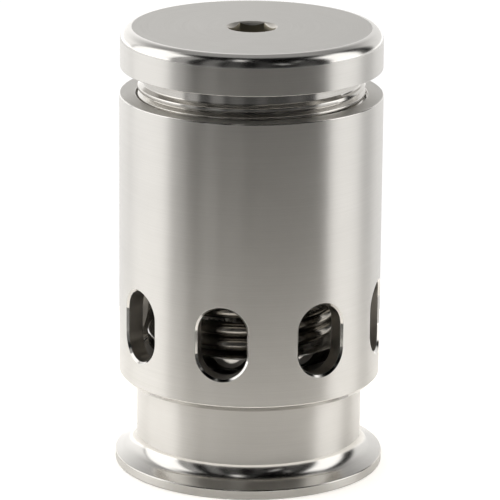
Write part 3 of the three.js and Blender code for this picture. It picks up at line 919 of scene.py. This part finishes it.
def spring_frames(first, last):
    frames = []
    steps = round((last - first) * STEPS_PER_TURN)
    for i in range(steps + 1):
        turn = first + (last - first) * i / steps
        angle = SPRING_START + TAU * turn
        slope = (coil_height(turn + 1e-3) - coil_height(turn - 1e-3)) / 2e-3
        centre = Vector((COIL_R * math.cos(angle), COIL_R * math.sin(angle), coil_height(turn)))
        along = Vector((-COIL_R * TAU * math.sin(angle), COIL_R * TAU * math.cos(angle), slope))
        along.normalize()
        across = Vector((math.cos(angle), math.sin(angle), 0))
        frames.append((centre, across, across.cross(along) * -1))
    return frames


def make_spring():
    """Two halves of the spring that meet at mid-height."""
    section = []
    for k in range(WIRE_SIDES):
        angle = TAU * k / WIRE_SIDES
        section.append((WIRE_R * math.cos(angle), WIRE_R * math.sin(angle)))
    middle = TURNS / 2
    joint = coil_height(middle)
    halves = (
        ("lower_coils", 0.0, middle, "poppet", SPRING_FOOT + STILL_END, joint + OVERLAP),
        ("upper_coils", middle, TURNS, "spring_seat", SPRING_TOP - STILL_END, joint - OVERLAP),
    )
    for name, first, last, body, start, end in halves:
        half = swept(name, spring_frames(first, last), section, [SHADED_WIRE])
        for vertex in half.data.vertices:
            vertex.co.z = min(max(vertex.co.z, SPRING_FOOT * MM), SPRING_TOP * MM)
        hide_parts("spring")
        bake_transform(half)


make_spring()

# ------------------------------------------------------------------ studio

FLOOR_R, FLOOR_Z = 0.18, -0.00002  # m
FLOOR_LIFT = 0.22                # glow that makes the table as white as the backdrop


def make_floor():
    """Small pale table: white under and round the valve, nothing beyond it to reflect."""
    bpy.ops.mesh.primitive_circle_add(
        vertices=128, radius=FLOOR_R, fill_type="NGON", location=(0, 0, FLOOR_Z))
    floor = bpy.context.object
    floor.name = "pale_floor"
    s = Shader("pale_floor")
    s.bsdf.inputs["Base Color"].default_value = (0.85, 0.85, 0.85, 1)
    s.bsdf.inputs["Roughness"].default_value = 0.8
    s.bsdf.inputs["Emission Color"].default_value = (1, 1, 1, 1)
    # seen straight on the table is as white as the backdrop; the metal mirrors it unlifted
    path = s.node("ShaderNodeLightPath")
    glow = s.math("MULTIPLY", path.outputs["Is Camera Ray"], FLOOR_LIFT)
    s.link(glow, s.bsdf.inputs["Emission Strength"])
    floor.data.materials.append(s.material)


class Studio:
    """World shader: a dark room with a large softbox on each side and a pale wall behind,
    laid out by direction: azimuth from the camera (positive to its right) and elevation."""

    def __init__(self):
        world = bpy.data.worlds.new("studio")
        world.use_nodes = True
        bpy.context.scene.world = world
        self.tree = world.node_tree
        self.tree.nodes.clear()
        coords = self.tree.nodes.new("ShaderNodeTexCoord")
        split = self.tree.nodes.new("ShaderNodeSeparateXYZ")
        self.tree.links.new(coords.outputs["Generated"], split.inputs[0])
        x, y, z = split.outputs
        # turn the world so that azimuth 0 is the camera's own direction
        c, s = math.cos(CAMERA_TURN), math.sin(CAMERA_TURN)
        right = self.sum(self.times(x, c), self.times(y, s))
        toward = self.sum(self.times(x, s), self.times(y, -c))
        self.azimuth = self.times(self.op("ARCTAN2", right, toward), 180 / math.pi)
        self.elevation = self.times(self.op("ARCSINE", z), 180 / math.pi)
        self.total = 0.0

    def op(self, kind, a, b=0.0):
        made = self.tree.nodes.new("ShaderNodeMath")
        made.operation = kind
        for socket, value in zip(made.inputs, (a, b)):
            if isinstance(value, (int, float)):
                socket.default_value = value
            else:
                self.tree.links.new(value, socket)
        return made.outputs[0]

    def times(self, a, b):
        return self.op("MULTIPLY", a, b)

    def sum(self, a, b):
        return self.op("ADD", a, b)

    def ramp(self, value, low, high):
        made = self.tree.nodes.new("ShaderNodeMapRange")
        made.interpolation_type = "SMOOTHSTEP"
        self.tree.links.new(value, made.inputs[0])
        rising = high > low
        made.inputs[1].default_value = min(low, high)
        made.inputs[2].default_value = max(low, high)
        made.inputs[3].default_value = 0.0 if rising else 1.0
        made.inputs[4].default_value = 1.0 if rising else 0.0
        return made.outputs[0]

    def panel(self, left, right, bottom, top, glow, soft=(5, 5, 5, 10), lean=0.0):
        """A soft-edged patch of light between two azimuths and two elevations. lean moves it
        sideways with height, in degrees per degree."""
        azimuth = self.azimuth
        if lean:
            azimuth = self.op("SUBTRACT", azimuth, self.times(self.elevation, lean))
        rise = self.ramp(azimuth, left, left + soft[0])
        fall = self.ramp(azimuth, right, right - soft[1])
        shape = self.times(rise, fall)
        if bottom > -90:
            shape = self.times(shape, self.ramp(self.elevation, bottom, bottom + soft[2]))
        if top < 90:
            shape = self.times(shape, self.ramp(self.elevation, top + soft[3], top))
        self.total = self.sum(self.total, self.times(shape, glow))

    def close(self, backdrop):
        """Rays straight from the camera see a plain pale backdrop."""
        nodes, links = self.tree.nodes, self.tree.links
        studio = nodes.new("ShaderNodeBackground")
        studio.inputs["Color"].default_value = (1.0, 0.99, 0.975, 1)
        links.new(self.total, studio.inputs["Strength"])
        plain = nodes.new("ShaderNodeBackground")
        plain.inputs["Color"].default_value = (1, 1, 1, 1)
        plain.inputs["Strength"].default_value = backdrop
        path = nodes.new("ShaderNodeLightPath")
        mix = nodes.new("ShaderNodeMixShader")
        links.new(path.outputs["Is Camera Ray"], mix.inputs[0])
        links.new(studio.outputs[0], mix.inputs[1])
        links.new(plain.outputs[0], mix.inputs[2])
        output = nodes.new("ShaderNodeOutputWorld")
        links.new(mix.outputs[0], output.inputs["Surface"])


def make_studio():
    studio = Studio()
    # left softbox, and the pale wall behind it fading with height
    studio.panel(-127, -72, -8, 44, 1.7, soft=(6, 5, 5, 16))
    studio.panel(-200, -72, -90, -4, 0.95)
    studio.panel(-200, -124, -8, 12, 1.3, soft=(5, 6, 5, 48))
    # right softbox, a dark gap, and the wall
    studio.panel(70, 112, -8, 42, 1.65, soft=(4, 7, 5, 14))
    studio.panel(70, 200, -90, -4, 0.95, soft=(4, 5, 5, 5))
    studio.panel(124, 200, -8, 12, 1.0, soft=(10, 5, 5, 48))
    # upper back wall, which the cap's top shows when it is seen from above
    studio.panel(-200, -100, 38, 90, 0.38, soft=(5, 12, 22, 5))
    studio.panel(100, 200, 38, 90, 0.38, soft=(12, 5, 22, 5))
    # dim reflector cards in front, weaker to the right
    card = (4, 4, 10, 12)
    studio.panel(-74, -55, -30, 46, 0.42, soft=card)
    studio.panel(-45, -27, -30, 46, 0.2, soft=card)
    studio.panel(-24, -6, -30, 46, 0.08, soft=card)
    studio.panel(4, 18, -30, 46, 0.05, soft=card)
    studio.panel(38, 60, -30, 30, 0.06, soft=card)
    studio.panel(-74, 74, -90, -6, 0.08, soft=(8, 8, 5, 5))
    # lamps under the ceiling
    studio.panel(-24, -7, 50, 64, 1.4, soft=(5, 4, 6, 8))
    studio.panel(20, 30, 26, 40, 0.3, soft=(4, 4, 6, 8), lean=0.55)
    studio.panel(36, 46, 12, 24, 0.9, soft=(4, 4, 6, 8), lean=-0.6)
    studio.close(1.05)


def make_lights():
    """One large soft light overhead. It lights the floor; the metal doesn't mirror it."""
    light = bpy.data.lights.new("overhead", "AREA")
    light.shape = "DISK"
    light.size = 0.9
    light.energy = 12.0
    light.color = (1.0, 0.95, 0.87)
    lamp = bpy.data.objects.new("overhead", light)
    lamp.location = (0, 0, 0.9)
    lamp.visible_glossy = False
    lamp.visible_camera = False
    bpy.context.scene.collection.objects.link(lamp)


def make_camera():
    distance, height = 1.2242, 0.4279
    pitch, roll = 0.28206, 0.00917
    lens, sensor = 271.7, 36.0
    turn = Matrix.Rotation(CAMERA_TURN, 3, "Z")
    forward = turn @ Vector((0, math.cos(pitch), -math.sin(pitch)))
    level = turn @ Vector((1, 0, 0))
    above = level.cross(forward)
    right = level * math.cos(roll) + above * math.sin(roll)
    up = above * math.cos(roll) - level * math.sin(roll)
    data = bpy.data.cameras.new("camera")
    data.sensor_width = sensor
    data.lens = lens
    data.clip_start, data.clip_end = 0.05, 20
    camera = bpy.data.objects.new("camera", data)
    pose = Matrix((right, up, -forward)).transposed().to_4x4()
    pose.translation = turn @ Vector((0, -distance, height))
    camera.matrix_world = pose
    bpy.context.scene.collection.objects.link(camera)
    bpy.context.scene.camera = camera


make_floor()
make_studio()
make_lights()
make_camera()
bpy.context.scene.view_settings.view_transform = "Standard"
bpy.context.view_layer.update()
